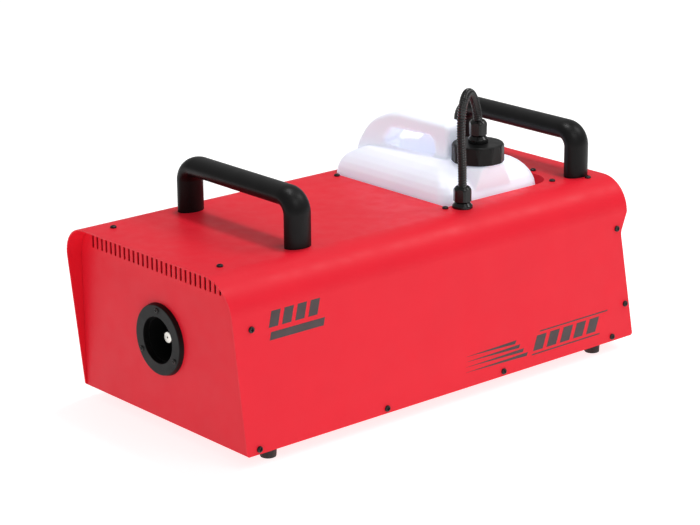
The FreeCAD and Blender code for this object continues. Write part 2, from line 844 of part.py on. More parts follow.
def tank_wire(level, front_in, rear_in):
    """Outline of the tank at a level, with its left and front walls and its right and rear walls brought in."""
    corners = [
        max(tank_left_corner - front_in, 8),
        max(tank_right_corner - front_in, 8),
        max(tank_rear_corner - rear_in, 10),
        max(tank_rear_corner - (front_in + rear_in) / 2, 9),
    ]
    face = rounded_face(
        [
            Vector(tank_left + front_in, tank_front + front_in, level),
            Vector(tank_right - rear_in, tank_front + front_in, level),
            Vector(tank_right - rear_in, tank_rear - rear_in, level),
            Vector(tank_left + front_in, tank_rear - rear_in, level),
        ],
        corners,
    )
    return face.OuterWire


def tank_vessel(inset):
    """Straight walls under a dome that is steeper in front and on the left than at the other two sides."""
    wires = [tank_wire(tank_bottom + inset, inset + 5, inset + 5), tank_wire(tank_bottom + inset + 5, inset, inset)]
    for rise in (0.0, 0.2, 0.4, 0.56, 0.7, 0.82, 0.92, 1.0):
        level = tank_spring + rise * (tank_crest - tank_spring)
        wires.append(tank_wire(level - inset, inset + dome_inset(level, 2.5), inset + dome_inset(level, 1.9)))
    return Part.makeLoft(wires, True, True)


def tank_body():
    collar = shifted(turned([(0, -30, 0), (38, -30, 0), (28, 0, 5), (0, 0, 0)]), neck_x, neck_y, tank_crest)
    collar = collar.common(box(tank_left, tank_right - 4, tank_front + 4, tank_rear - 4, 0, 300))
    neck = rod(neck_radius, (neck_x, neck_y, tank_spring + 10), (neck_x, neck_y, neck_top))
    bore = rod(neck_radius - 2.4, (neck_x, neck_y, tank_spring), (neck_x, neck_y, neck_top + 5))
    shell = less(joined([tank_vessel(0), collar, neck]), [tank_vessel(tank_wall), bore])
    return joined([shell, tank_loop()]).cut(pocket_room())


def tank_cap():
    """Twelve-sided screw cap with a fine rib on each edge and slightly tapered sides."""
    height = cap_top - cap_bottom
    flats = prism(cap_flats, cap_radius * 1.95, height)
    envelope = turned([(0, 0, 0), (cap_radius + 0.4, 0, 0.8), (cap_radius - 0.6, height, 2.2), (0, height, 0)])
    corner = cap_radius - 0.75
    ribs = []
    for i in range(cap_flats):
        angle = 2 * math.pi * (i + 0.5) / cap_flats
        x = corner * math.cos(angle)
        y = corner * math.sin(angle)
        ribs.append(rod(0.8, (x, y, 0.9), (x, y, height - 1.6)))
    hollow = rod(neck_radius + 0.6, (0, 0, -1), (0, 0, neck_top - cap_bottom + 0.6))
    hole = rod(6.3, (0, 0, 0), (0, 0, 40))
    cap = less(joined([flats.common(envelope)] + ribs), [hollow, hole])
    return shifted(turned_about(cap, cap_turn, up), neck_x, neck_y, cap_bottom)


def dip_tube():
    tube = rod(tube_radius, (neck_x, neck_y, 32), (neck_x, neck_y, cap_top + 6.5))
    return tube.cut(rod(1.8, (neck_x, neck_y, 20), (neck_x, neck_y, cap_top + 20)))


def suction_filter():
    """Sintered strainer weight on the end of the dip tube."""
    body = turned([(0, 0, 0), (7, 0, 1.5), (7, 16, 1.5), (4.5, 20, 0), (0, 20, 0)])
    socket = rod(tube_radius + 0.02, (0, 0, 14), (0, 0, 30))
    bore = rod(1.8, (0, 0, 4), (0, 0, 30))
    return shifted(less(body, [socket, bore]), neck_x, neck_y, 18)


# ---------------------------------------------------------------- electronics inside

board_left = -133.0
board_right = -70.0
board_front = 56.0
board_rear = 226.0
board_level = 12.0


def board_posts():
    places = []
    for x in (board_left + 5, board_right - 5):
        for y in (board_front + 5, board_rear - 5):
            places.append((x, y))
    return places


def control_board():
    corners = rectangle(board_left, board_right, board_front, board_rear, 2)
    board = plate_xy(corners, board_level, board_level + 1.6)
    return less(board, [rod(1.7, (x, y, 0), (x, y, 30)) for x, y in board_posts()])


def board_standoffs():
    return group([rod(3.0, (x, y, sheet), (x, y, board_level)) for x, y in board_posts()])


def board_components():
    top = board_level + 1.6
    solids = [box(-125, -107, 70, 98, top, top + 16), box(-125, -107, 106, 134, top, top + 16)]
    for y in (150.0, 172.0):
        solids.append(shifted(turned([(0, 0, 0), (8, 0, 0), (8, 24, 1), (0, 24, 0)]), -116, y, top))
    solids.append(box(-100, -78, 66, 74, top, top + 30))
    for i in range(6):
        solids.append(box(-100, -80, 90 + 10.2 * i, 100 + 10.2 * i, top, top + 12))
    solids.append(box(-98, -86, 170, 200, top, top + 3.5))
    return group(solids)


def transformer():
    core = box(95, 133, 408, 452, sheet, 38)
    winding = plate_yz(rectangle(400, 460, 8, 32, 6), 103, 125)
    feet = box(90.5, 136, 420, 440, sheet, sheet + 2)
    return joined([core, winding, feet])


# ---------------------------------------------------------------- rear panel fittings

inlet_x = 96.0
inlet_z = 36.0
fuse_x = 96.0
fuse_z = 72.0
switch_x = 50.0
switch_z = 38.0
data_in_x = 0.0
data_out_x = -40.0
data_z = 38.0
display_x = -30.0
display_z = 112.0
button_z = 82.0
button_x = [-60.0, -40.0, -20.0, 0.0]
button_radius = 4.5
data_shell = 11.4
pin_circle = 4.4


def panel_cutouts():
    """Openings in the rear panel, in its own frame and then moved to it."""
    cuts = [
        box(inlet_x - 14.2, inlet_x + 14.2, -9, 9, inlet_z - 10.4, inlet_z + 10.4),
        box(switch_x - 13.2, switch_x + 13.2, -9, 9, switch_z - 9.7, switch_z + 9.7),
        rod(6.3, (fuse_x, -9, fuse_z), (fuse_x, 9, fuse_z)),
        rod(data_shell + 0.3, (data_in_x, -9, data_z), (data_in_x, 9, data_z)),
        rod(data_shell + 0.3, (data_out_x, -9, data_z), (data_out_x, 9, data_z)),
        box(display_x - 33, display_x + 33, -9, 9, display_z - 10, display_z + 10),
    ]
    cuts.append(box(data_out_x - 5.2, data_out_x + 5.2, -9, 9, data_z + 10, data_z + 14.2))
    cuts.extend([rod(button_radius + 0.3, (x, -9, button_z), (x, 9, button_z)) for x in button_x])
    cuts.extend([rod(1.65, (x, -9, z), (x, 9, z)) for x, z in panel_screw_places()])
    return [on_rear_panel(cut) for cut in cuts]


def panel_screw_places():
    places = [(inlet_x - 20, inlet_z), (inlet_x + 20, inlet_z)]
    for x in (data_in_x, data_out_x):
        places.extend([(x - 9.5, data_z + 12), (x + 9.5, data_z - 12)])
    return places


def power_inlet():
    """Moulded mains inlet with its mounting ears and its socket."""
    flange = plate_xz([(-25, -8, 5), (25, -8, 5), (25, 8, 5), (-25, 8, 5)], 0, 2)
    face = plate_xz(rectangle(-16, 16, -12, 12, 2), 0, 3.2)
    body = box(-14, 14, -17, 0.5, -10.2, 10.2)
    cavity = plate_xz([(-12.3, -8.3, 1), (12.3, -8.3, 1), (12.3, 4.5, 0), (8.3, 8.3, 0), (-8.3, 8.3, 0), (-12.3, 4.5, 0)], -14, 10)
    ears = [rod(1.65, (x, -5, 0), (x, 5, 0)) for x in (-20, 20)]
    pins = [box(x - 1.1, x + 1.1, -20, -6, z - 2.1, z + 2.1) for x, z in inlet_pin_places()]
    shape = less(joined([flange, face, body]), [cavity] + ears + pins)
    return on_rear_panel(shifted(shape, inlet_x, 0, inlet_z))


def inlet_pin_places():
    return [(-7.0, -1.8), (0.0, 2.6), (7.0, -1.8)]


def contact_pins():
    """Blades of the mains inlet and the round pins of the data plug socket."""
    solids = []
    for x, z in inlet_pin_places():
        blade = box(x - 1.0, x + 1.0, -24, -7, z - 2.0, z + 2.0)
        solids.append(on_rear_panel(shifted(blade, inlet_x, 0, inlet_z)))
    for x, z in around(pin_circle, (30, 150, 270), data_in_x, data_z):
        solids.append(on_rear_panel(rod(1.2, (x, -24, z), (x, -5, z))))
    return group(solids)


def data_flange(x):
    return plate_xz(rectangle(x - 13, x + 13, data_z - 15.5, data_z + 15.5, 3), 0, 2)


def data_screw_holes():
    return [rod(1.65, (x, -5, z), (x, 5, z)) for x, z in panel_screw_places()[2:]]


def data_in_socket():
    """Panel plug with three pins in a round shell."""
    shell = rod(data_shell, (data_in_x, -20, data_z), (data_in_x, 2.0, data_z))
    hollow = rod(9.4, (data_in_x, -14, data_z), (data_in_x, 5, data_z))
    pins = [rod(1.25, (x, -30, z), (x, -4, z)) for x, z in around(pin_circle, (30, 150, 270), data_in_x, data_z)]
    return on_rear_panel(less(joined([data_flange(data_in_x), shell]), [hollow] + pins + data_screw_holes()))


def data_out_socket():
    """Panel socket with three contact holes, a keyway and a slot for its release button."""
    shell = rod(data_shell, (data_out_x, -20, data_z), (data_out_x, 2.6, data_z))
    groove = rod(9.6, (data_out_x, -10, data_z), (data_out_x, 5, data_z))
    core = rod(7.4, (data_out_x, -11, data_z), (data_out_x, 2.2, data_z))
    groove = groove.cut(core)
    holes = [rod(1.3, (x, -9, z), (x, 5, z)) for x, z in around(pin_circle, (90, 210, 330), data_out_x, data_z)]
    slot = box(data_out_x - 4.8, data_out_x + 4.8, -6, 5, data_z + 10.2, data_z + 14.2)
    return on_rear_panel(less(joined([data_flange(data_out_x), shell]), [groove, slot] + holes + data_screw_holes()))


def socket_latch():
    """Release button above the data socket's mouth."""
    tab = plate_xz(rectangle(data_out_x - 4.3, data_out_x + 4.3, data_z + 10.7, data_z + 13.7, 1), -3.5, 4.4)
    return on_rear_panel(tab)


def fuse_holder():
    flange = turned([(0, 0, 0), (8.5, 0, 0), (8.5, 2.4, 0.8), (0, 2.4, 0)])
    barrel = rod(6.1, (0, 0, -32), (0, 0, 0.5))
    hollow = rod(4.6, (0, 0, -30), (0, 0, 5))
    return facing_rear(less(joined([flange, barrel]), [hollow]), fuse_x, fuse_z)


def fuse_cap():
    """Bayonet cap with a screwdriver slot, on the stem that carries the fuse."""
    knob = turned([(0, 2.7, 0), (6.4, 2.7, 0), (6.0, 9.5, 1.2), (0, 9.5, 0)])
    stem = rod(4.55, (0, 0, -24), (0, 0, 3))
    slot = box(-4.4, 4.4, -0.7, 0.7, 8.0, 12)
    return facing_rear(less(joined([knob, stem]), [slot]), fuse_x, fuse_z)


rocker_rest = 9.0
rocker_axis_depth = -2.0
rocker_pin = 1.4


def power_switch():
    """Housing of the rocker switch with two rear tabs."""
    bezel = plate_xz(rectangle(-15.5, 15.5, -11.5, 11.5, 1.5), 0, 2.4)
    body = box(-13, 13, -20, 0.5, -9.5, 9.5)
    well = box(-11.6, 11.6, -9, 5, -8.2, 8.2)
    tabs = [box(x - 3, x + 3, -29, -19.9, -0.4, 0.4) for x in (-7, 7)]
    pivot = rod(rocker_pin + 0.05, (-12.4, rocker_axis_depth, 0), (12.4, rocker_axis_depth, 0))
    shape = less(joined([bezel, body] + tabs), [well, pivot])
    return on_rear_panel(shifted(shape, switch_x, 0, switch_z))


def switch_rocker():
    """Rocker with a dished face, at rest with its lower half pressed in."""
    side = [(-5.6, -5.2, 1), (5.6, -5.2, 1), (7.4, 3.4, 0.8), (0, 1.7, 6), (-7.4, 3.4, 0.8)]
    profile = [(z, y, r) for z, y, r in side]
    face = rounded_face([Vector(-11.2, y, z) for z, y, r in profile], [r for z, y, r in profile])
    pin = rod(rocker_pin, (-12.2, rocker_axis_depth, 0), (12.2, rocker_axis_depth, 0))
    rocker = joined([face.extrude(Vector(22.4, 0, 0)), pin])
    rocker = turned_about(rocker, rocker_rest, to_right, Vector(0, rocker_axis_depth, 0))
    return on_rear_panel(shifted(rocker, switch_x, 0, switch_z))


def display_window():
    """Clear window in its bezel, with the lit module behind it."""
    window = box(display_x - 32.7, display_x + 32.7, -7, 0.2, display_z - 9.7, display_z + 9.7)
    bezel = plate_xz(rectangle(display_x - 36, display_x + 36, display_z - 13, display_z + 13, 3), 0, 1.6)
    opening = plate_xz(rectangle(display_x - 28, display_x + 28, display_z - 7.5, display_z + 7.5, 1), 0.2, 5)
    return on_rear_panel(less(joined([window, bezel]), [opening]))


def menu_button(x):
    button = turned([(0, -3.5, 0), (button_radius, -3.5, 0), (button_radius, 1.8, 0.9), (0, 1.8, 0)])
    return facing_rear(button, x, button_z)


# ---------------------------------------------------------------- export

nodes = {
    "top_cover": top_cover(),
    "front_panel": front_panel(),
    "rear_panel": rear_panel(),
    "base_pan": base_pan(),
    "tank_tray": tank_tray(),
    "front_handle": grip(front_grip_y),
    "rear_handle": grip(rear_grip_y),
    "handle_screws": grip_screws(),
    "cover_screws": cover_screws(),
    "feet": group([foot(x, y) for x, y in foot_places]),
    "foot_screws": foot_screws(),
    "nozzle_ring": nozzle_ring(),
    "nozzle_cup": nozzle_cup(),
    "nozzle_tip": nozzle_tip(),
    "heater_core": heater_core(),
    "heater_elements": heater_elements(),
    "heater_insulation": heater_insulation(),
    "heater_case": heater_case(),
    "heater_brackets": heater_brackets(),
    "heater_inlet": heater_inlet(),
    "thermal_cutout": thermal_cutout(),
    "pump_coil": pump_coil(),
    "pump_yoke": pump_yoke(),
    "pump_barrel": pump_barrel(),
    "pump_plunger": pump_plunger(),
    "pump_spring": pump_spring(),
    "pump_bracket": pump_bracket(),
    "pump_dampers": pump_dampers(),
    "suction_tube": swept_tube(suction_route, tube_radius, 1.8),
    "delivery_tube": swept_tube(delivery_route, tube_radius, 1.8),
    "cover_gland_body": shifted(gland_body(11.0), gland_x, gland_y, casing_height),
    "cover_gland_nut": shifted(gland_nut(), gland_x, gland_y, casing_height),
    "cover_gland_locknut": shifted(gland_locknut(-sheet - 4.7, -sheet - 0.2), gland_x, gland_y, casing_height),
    "fluid_conduit": fluid_conduit(),
    "cap_gland_body": shifted(gland_body(8.0 + cap_seal, cap_seal), neck_x, neck_y, cap_gland_level),
    "cap_gland_nut": shifted(gland_nut(), neck_x, neck_y, cap_gland_level),
    "cap_gland_locknut": shifted(gland_locknut(-7.6, -3.4), neck_x, neck_y, cap_top + fit_gap),
    "tank_cap": tank_cap(),
    "tank_body": tank_body(),
    "dip_tube": dip_tube(),
    "suction_filter": suction_filter(),
    "control_board": control_board(),
    "board_components": board_components(),
    "board_standoffs": board_standoffs(),
    "transformer": transformer(),
    "power_inlet": power_inlet(),
    "contact_pins": contact_pins(),
    "panel_screws": panel_screws(),
    "data_in_socket": data_in_socket(),
    "data_out_socket": data_out_socket(),
    "socket_latch": socket_latch(),
    "fuse_holder": fuse_holder(),
    "fuse_cap": fuse_cap(),
    "power_switch": power_switch(),
    "switch_rocker": switch_rocker(),
    "display_window": display_window(),
}
for i, x in enumerate(button_x):
    nodes["menu_button_%d" % (i + 1)] = menu_button(x)

cover_extent = nodes["top_cover"].BoundBox
ground_centre = Vector(0, -(cover_extent.YMin + cover_extent.YMax) / 2, foot_height)
os.makedirs("parts", exist_ok=True)
for name, shape in nodes.items():
    shape.translate(ground_centre)
    if not shape.isValid():
        print("not valid:", name)
    shape.exportStep("parts/" + name + ".step")
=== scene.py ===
import math

import bmesh
import bpy
from mathutils import Matrix, Vector


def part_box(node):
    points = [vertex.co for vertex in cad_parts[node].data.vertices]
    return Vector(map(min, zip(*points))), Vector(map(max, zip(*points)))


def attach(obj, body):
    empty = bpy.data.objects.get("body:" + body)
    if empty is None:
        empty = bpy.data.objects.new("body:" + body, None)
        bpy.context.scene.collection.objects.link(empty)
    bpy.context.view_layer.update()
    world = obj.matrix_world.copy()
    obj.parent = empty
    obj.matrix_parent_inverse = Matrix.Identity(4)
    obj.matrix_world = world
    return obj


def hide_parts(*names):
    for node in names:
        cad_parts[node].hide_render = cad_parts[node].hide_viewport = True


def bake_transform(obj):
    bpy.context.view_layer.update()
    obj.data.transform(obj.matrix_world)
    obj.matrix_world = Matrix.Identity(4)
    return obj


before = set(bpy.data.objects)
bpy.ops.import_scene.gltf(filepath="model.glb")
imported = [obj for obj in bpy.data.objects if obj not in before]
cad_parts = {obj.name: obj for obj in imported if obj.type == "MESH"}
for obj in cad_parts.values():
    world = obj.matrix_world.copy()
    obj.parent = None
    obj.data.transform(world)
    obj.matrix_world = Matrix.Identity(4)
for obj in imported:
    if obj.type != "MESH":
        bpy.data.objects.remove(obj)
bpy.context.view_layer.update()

# ---------------------------------------------------------------- places
# The casing's own corner: the front lower edge of the cover, in the middle of its width.
# The cover's front edge leans forward from there, by the overhang.

MM = 0.001
cover_low, cover_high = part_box("top_cover")
front_overhang = 19.8 * MM
casing_corner = Vector((0.0, cover_low.y + front_overhang, cover_low.z))
side_face = cover_high.x


def at(x, y, z):
    """A point given in millimetres from the casing's corner."""
    return casing_corner + Vector((x, y, z)) * MM


# ---------------------------------------------------------------- camera and light

camera_place = at(1865.9, -1338.7, 888.9)
camera_azimuth = 49.43
camera_elevation = 17.43
camera_roll = -0.47
camera_lens = 120.56
sensor_width = 36.0
farthest_view = 100

world_strength = 0.4
lamp_target = Vector((0, 0, 0.1))

# Each lamp's name, place and width in metres, and power in watts.
lamps = [
    ("overhead", (-0.2, 0.31, 2.5), 0.5, 19),
    ("side", (1.8, 0.1, 2.0), 1.2, 12),
    ("edge", (1.0, 2.0, 2.4), 1.0, 19),
]


def turned_axes(azimuth, elevation, roll):
    """Right, up and back axes of a camera that looks along +Y at azimuth 0."""
    a, e, r = (math.radians(angle) for angle in (azimuth, elevation, roll))
    back = Vector((math.sin(a) * math.cos(e), -math.cos(a) * math.cos(e), math.sin(e)))
    right = Vector((math.cos(a), math.sin(a), 0))
    up = back.cross(right)
    return right * math.cos(r) + up * math.sin(r), up * math.cos(r) - right * math.sin(r), back


def make_camera():
    data = bpy.data.cameras.new("view")
    data.sensor_width = sensor_width
    data.lens = camera_lens
    data.clip_end = farthest_view
    camera = bpy.data.objects.new("view", data)
    bpy.context.scene.collection.objects.link(camera)
    right, up, back = turned_axes(camera_azimuth, camera_elevation, camera_roll)
    turn = Matrix((right, up, back)).transposed().to_4x4()
    camera.matrix_world = Matrix.Translation(camera_place) @ turn
    bpy.context.scene.camera = camera


def area_light(name, place, size, power):
    """A white disc of light that faces the machine."""
    data = bpy.data.lights.new(name, "AREA")
    data.shape = "DISK"
    data.size = size
    data.energy = power
    lamp = bpy.data.objects.new(name, data)
    bpy.context.scene.collection.objects.link(lamp)
    lamp.location = place
    lamp.rotation_euler = (lamp_target - Vector(place)).to_track_quat("-Z", "Y").to_euler()


def make_lights():
    world = bpy.data.worlds.new("studio")
    bpy.context.scene.world = world
    world.use_nodes = True
    background = world.node_tree.nodes["Background"]
    background.inputs["Color"].default_value = (1.0, 1.0, 1.0, 1.0)
    background.inputs["Strength"].default_value = world_strength
    for name, place, size, power in lamps:
        area_light(name, place, size, power)
    bpy.context.scene.view_settings.view_transform = "Standard"


# ---------------------------------------------------------------- material helpers

# Most of a noise texture's values lie between these two.
noise_low = 0.3
noise_high = 0.7


def principled(name, colour, roughness, **settings):
    """A material whose constant values sit on the shader's own sockets."""
    material = bpy.data.materials.new(name)
    material.use_nodes = True
    shader = material.node_tree.nodes["Principled BSDF"]
    shader.inputs["Base Color"].default_value = (*colour, 1.0)
    shader.inputs["Roughness"].default_value = roughness
    for socket, value in settings.items():
        shader.inputs[socket.replace("_", " ")].default_value = value
    material.diffuse_color = (*colour, 1.0)
    return material


def shader_of(material):
    return material.node_tree.nodes["Principled BSDF"]


def link(material, output, target):
    material.node_tree.links.new(output, target)


def object_coordinates(material, stretch=(1, 1, 1)):
    """Places on the object, scaled along each axis where stretch asks for it."""
    nodes = material.node_tree.nodes
    place = nodes.new("ShaderNodeTexCoord").outputs["Object"]
    if stretch == (1, 1, 1):
        return place
    mapping = nodes.new("ShaderNodeMapping")
    mapping.inputs["Scale"].default_value = stretch
    link(material, place, mapping.inputs["Vector"])
    return mapping.outputs["Vector"]


def noise(material, scale, detail=2.0, stretch=(1, 1, 1)):
    node = material.node_tree.nodes.new("ShaderNodeTexNoise")
    node.inputs["Scale"].default_value = scale
    node.inputs["Detail"].default_value = detail
    link(material, object_coordinates(material, stretch), node.inputs["Vector"])
    return node.outputs["Fac"]


def cells(material, scale, feature="F1"):
    """Distance within cells of a Voronoi texture."""
    node = material.node_tree.nodes.new("ShaderNodeTexVoronoi")
    node.feature = feature
    node.inputs["Scale"].default_value = scale
    link(material, object_coordinates(material), node.inputs["Vector"])
    return node.outputs["Distance"]


def tint(material, value, dark, light, low=noise_low, high=noise_high):
    """Base colour that runs from dark to light with a texture's value."""
    ramp = material.node_tree.nodes.new("ShaderNodeValToRGB")
    first, last = ramp.color_ramp.elements
    first.position, last.position = low, high
    first.color = (*dark, 1.0)
    last.color = (*light, 1.0)
    link(material, value, ramp.inputs["Fac"])
    link(material, ramp.outputs["Color"], shader_of(material).inputs["Base Color"])


def gloss(material, value, low, high):
    """Roughness that varies between two values with a texture."""
    node = material.node_tree.nodes.new("ShaderNodeMapRange")
    node.inputs["From Min"].default_value = noise_low
    node.inputs["From Max"].default_value = noise_high
    node.inputs["To Min"].default_value = low
    node.inputs["To Max"].default_value = high
    link(material, value, node.inputs["Value"])
    link(material, node.outputs["Result"], shader_of(material).inputs["Roughness"])


def bump(material, value, strength, depth):
    """Fine relief, laid over any relief the material already has."""
    node = material.node_tree.nodes.new("ShaderNodeBump")
    node.inputs["Strength"].default_value = strength
    node.inputs["Distance"].default_value = depth
    normal = shader_of(material).inputs["Normal"]
    if normal.is_linked:
        link(material, normal.links[0].from_socket, node.inputs["Normal"])
    link(material, value, node.inputs["Height"])
    link(material, node.outputs["Normal"], normal)


# ---------------------------------------------------------------- materials

def powder_coat(name, colour, shade):
    """Painted sheet steel with faint waves and a fine grain; shade darkens it in spots."""
    material = principled(name, colour, 0.45, Specular_IOR_Level=0.2)
    darker = tuple(c * shade for c in colour)
    tint(material, noise(material, 14, 3), darker, colour, 0.25, 0.75)
    gloss(material, noise(material, 60, 3), 0.38, 0.50)
    bump(material, noise(material, 5, 1), 0.05, 0.004)
    bump(material, noise(material, 1100, 3), 0.16, 0.00012)
    return material


def moulded(name, colour, roughness, grain=1400, relief=0.35, **settings):
    """Moulded plastic with a fine grain."""
    material = principled(name, colour, roughness, **settings)
    lighter = tuple(c * 1.3 + 0.001 for c in colour)
    tint(material, noise(material, 35, 4), colour, lighter)
    gloss(material, noise(material, 90, 3), roughness * 0.88, roughness * 1.12)
    bump(material, cells(material, grain), relief, 0.00008)
    bump(material, noise(material, grain * 2.2, 2), relief * 0.6, 0.00004)
    return material


def metal(name, colour, roughness, stretch=(1, 1, 1), scale=700, relief=0.12):
    """Bare or plated metal with fine marks, longer or shorter along an axis where stretch says so."""
    material = principled(name, colour, roughness, Metallic=1.0)
    darker = tuple(c * 0.82 for c in colour)
    tint(material, noise(material, 45, 4), darker, colour)
    gloss(material, noise(material, scale, 3, stretch), roughness * 0.75, roughness * 1.3)
    bump(material, noise(material, scale, 2, stretch), relief, 0.00005)
    return material


def blackened_steel():
    material = principled(
        "blackened_steel", (0.025, 0.024, 0.024), 0.36, Metallic=0.6, Specular_IOR_Level=0.5,
    )
    tint(material, noise(material, 260, 3), (0.014, 0.014, 0.014), (0.05, 0.048, 0.046))
    gloss(material, noise(material, 900, 2), 0.28, 0.46)
    bump(material, noise(material, 1600, 2), 0.2, 0.00005)
    return material


def tank_polyethylene_painted_glow():
    # The emission is painted light: a faint bluish glow, as if light shone through the plastic, though
    # the tank is no lamp.
    material = principled(
        "tank_polyethylene_painted_glow", (0.86, 0.77, 0.85), 0.36,
        Subsurface_Weight=0.3, Subsurface_Radius=(0.9, 0.7, 0.9), Subsurface_Scale=0.003,
        Specular_IOR_Level=0.4, Emission_Color=(0.72, 0.82, 1.0, 1.0), Emission_Strength=0.28,
    )
    tint(material, noise(material, 16, 3), (0.80, 0.79, 0.85), (0.87, 0.86, 0.91), 0.2, 0.8)
    gloss(material, noise(material, 40, 2), 0.3, 0.44)
    bump(material, noise(material, 22, 2), 0.10, 0.002)
    bump(material, noise(material, 600, 2), 0.10, 0.0001)
    return material


def rubber(name):
    material = principled(name, (0.016, 0.016, 0.017), 0.72, Sheen_Weight=0.08)
    tint(material, noise(material, 120, 4), (0.012, 0.012, 0.012), (0.03, 0.029, 0.028))
    gloss(material, noise(material, 300, 3), 0.62, 0.84)
    bump(material, noise(material, 1500, 3), 0.3, 0.0001)
    return material


def mineral_wool():
    material = principled("mineral_wool", (0.62, 0.58, 0.40), 0.95)
    tint(material, noise(material, 420, 6, (1, 1, 4)), (0.42, 0.39, 0.24), (0.78, 0.74, 0.56))
    bump(material, noise(material, 900, 6, (1, 1, 5)), 0.8, 0.0006)
    return material


def circuit_board():
    material = principled("circuit_board", (0.02, 0.14, 0.06), 0.3, Coat_Weight=0.3)
    tracks = cells(material, 240, "DISTANCE_TO_EDGE")
    tint(material, tracks, (0.05, 0.26, 0.12), (0.015, 0.11, 0.05), 0.02, 0.10)
    bump(material, tracks, 0.2, 0.0001)
    return material


def clear_tube():
    material = principled(
        "clear_tube", (0.82, 0.82, 0.78), 0.25, Subsurface_Weight=0.4, Subsurface_Scale=0.002,
    )
    tint(material, noise(material, 80, 3), (0.74, 0.74, 0.68), (0.88, 0.88, 0.85))
    bump(material, noise(material, 900, 2), 0.1, 0.00005)
    return material


def lit_figures():
    """Lit segments of the display."""
    material = principled("lit_figures", (0.05, 0.01, 0.01), 0.4, Emission_Strength=1.4)
    shader_of(material).inputs["Emission Color"].default_value = (1.0, 0.10, 0.05, 1.0)
    tint(material, noise(material, 900, 2), (0.04, 0.008, 0.008), (0.10, 0.02, 0.016))
    gloss(material, noise(material, 500, 2), 0.3, 0.5)
    return material


finishes = {
    "red": powder_coat("red_powder_coat", (0.87, 0.014, 0.033), 0.95),
    "grip": moulded("grip_plastic", (0.0045, 0.0043, 0.0045), 0.38, 1100, 0.35, Specular_IOR_Level=0.16),
    "cap": moulded("cap_plastic", (0.004, 0.004, 0.004), 0.4, 1800, 0.2, Specular_IOR_Level=0.22),
    "gland": moulded("gland_plastic", (0.004, 0.004, 0.004), 0.2, 1800, 0.08, Specular_IOR_Level=0.32),
    "conduit": moulded(
        "conduit_plastic", (0.004, 0.004, 0.0042), 0.16, 2200, 0.05, Specular_IOR_Level=0.5,
    ),
    "fitting": moulded(
        "fitting_plastic", (0.009, 0.009, 0.0095), 0.4, 1600, 0.25, Specular_IOR_Level=0.35,
    ),
    "button": moulded("button_plastic", (0.19, 0.19, 0.20), 0.45, 1600, 0.25),
    "rocker": moulded("rocker_plastic", (0.42, 0.012, 0.014), 0.25, 1800, 0.1),
    "coil": moulded("coil_plastic", (0.05, 0.05, 0.058), 0.5, 1200, 0.3),
    "print": moulded("printed_ink", (0.045, 0.030, 0.032), 0.5, 2400, 0.1),
    "tank": tank_polyethylene_painted_glow(),
    "digits": lit_figures(),
    "screw": blackened_steel(),
    "nozzle_black": powder_coat("stove_black", (0.005, 0.0049, 0.0049), 0.7),
    "zinc": metal("zinc_plate", (0.62, 0.62, 0.58), 0.34),
    "spring": metal("spring_wire", (0.66, 0.66, 0.66), 0.22),
    "nickel": metal("nickel_plate", (0.60, 0.58, 0.54), 0.26),
    "jet": metal("turned_aluminium", (0.86, 0.84, 0.78), 0.30, scale=900, relief=0.2),
    "cast": metal("cast_aluminium", (0.62, 0.62, 0.63), 0.5, scale=380, relief=0.4),
    "element": metal("element_sheath", (0.46, 0.43, 0.40), 0.42, (1, 0.1, 1), 800, 0.2),
    "brass": metal("turned_brass", (0.78, 0.58, 0.26), 0.28),
    "laminations": metal("varnished_laminations", (0.16, 0.14, 0.12), 0.45, (1, 30, 1), 60, 0.4),
    "rubber": rubber("foot_rubber"),
    "wool": mineral_wool(),
    "board": circuit_board(),
    "tube": clear_tube(),
}

# The CAD nodes that wear each finish.
node_finishes = {
    "red": ["top_cover", "front_panel", "rear_panel", "base_pan", "tank_tray"],
    "grip": ["front_handle", "rear_handle"],
    "cap": ["tank_cap"],
    "gland": [end + "_gland_" + part for end in ("cap", "cover") for part in ("body", "nut", "locknut")],
    "conduit": ["fluid_conduit"],
    "fitting": [
        "power_inlet", "power_switch", "fuse_holder", "fuse_cap", "display_window", "thermal_cutout",
    ],
    "button": ["menu_button_%d" % number for number in range(1, 5)],
    "rocker": ["switch_rocker"],
    "coil": ["pump_coil", "pump_barrel", "board_components"],
    "tank": ["tank_body"],
    "screw": ["cover_screws", "panel_screws"],
    "nozzle_black": ["nozzle_ring", "nozzle_cup"],
    "zinc": [
        "handle_screws", "foot_screws", "heater_brackets", "pump_bracket", "pump_yoke",
        "board_standoffs", "pump_plunger",
    ],
    "spring": ["pump_spring"],
    "nickel": ["data_in_socket", "data_out_socket", "socket_latch"],
    "jet": ["nozzle_tip"],
    "cast": ["heater_core", "heater_case"],
    "element": ["heater_elements", "suction_filter"],
    "brass": ["heater_inlet", "contact_pins"],
    "laminations": ["transformer"],
    "rubber": ["feet", "pump_dampers"],
    "wool": ["heater_insulation"],
    "board": ["control_board"],
    "tube": ["suction_tube", "delivery_tube", "dip_tube"],
}


def finish_nodes():
    for finish, names in node_finishes.items():
        for name in names:
            for place in bpy.data.objects[name].material_slots:
                place.material = finishes[finish]


# ---------------------------------------------------------------- mesh helpers

def new_object(name, mesh, finish):
    thing = bpy.data.objects.new(name, mesh)
    bpy.context.scene.collection.objects.link(thing)
    mesh.materials.append(finishes[finish])
    return thing


def from_bmesh(name, shape, finish, smooth=True):
    bmesh.ops.recalc_face_normals(shape, faces=shape.faces)
    mesh = bpy.data.meshes.new(name)
    shape.to_mesh(mesh)
    shape.free()
    if smooth:
        mesh.shade_smooth()
    return new_object(name, mesh, finish)


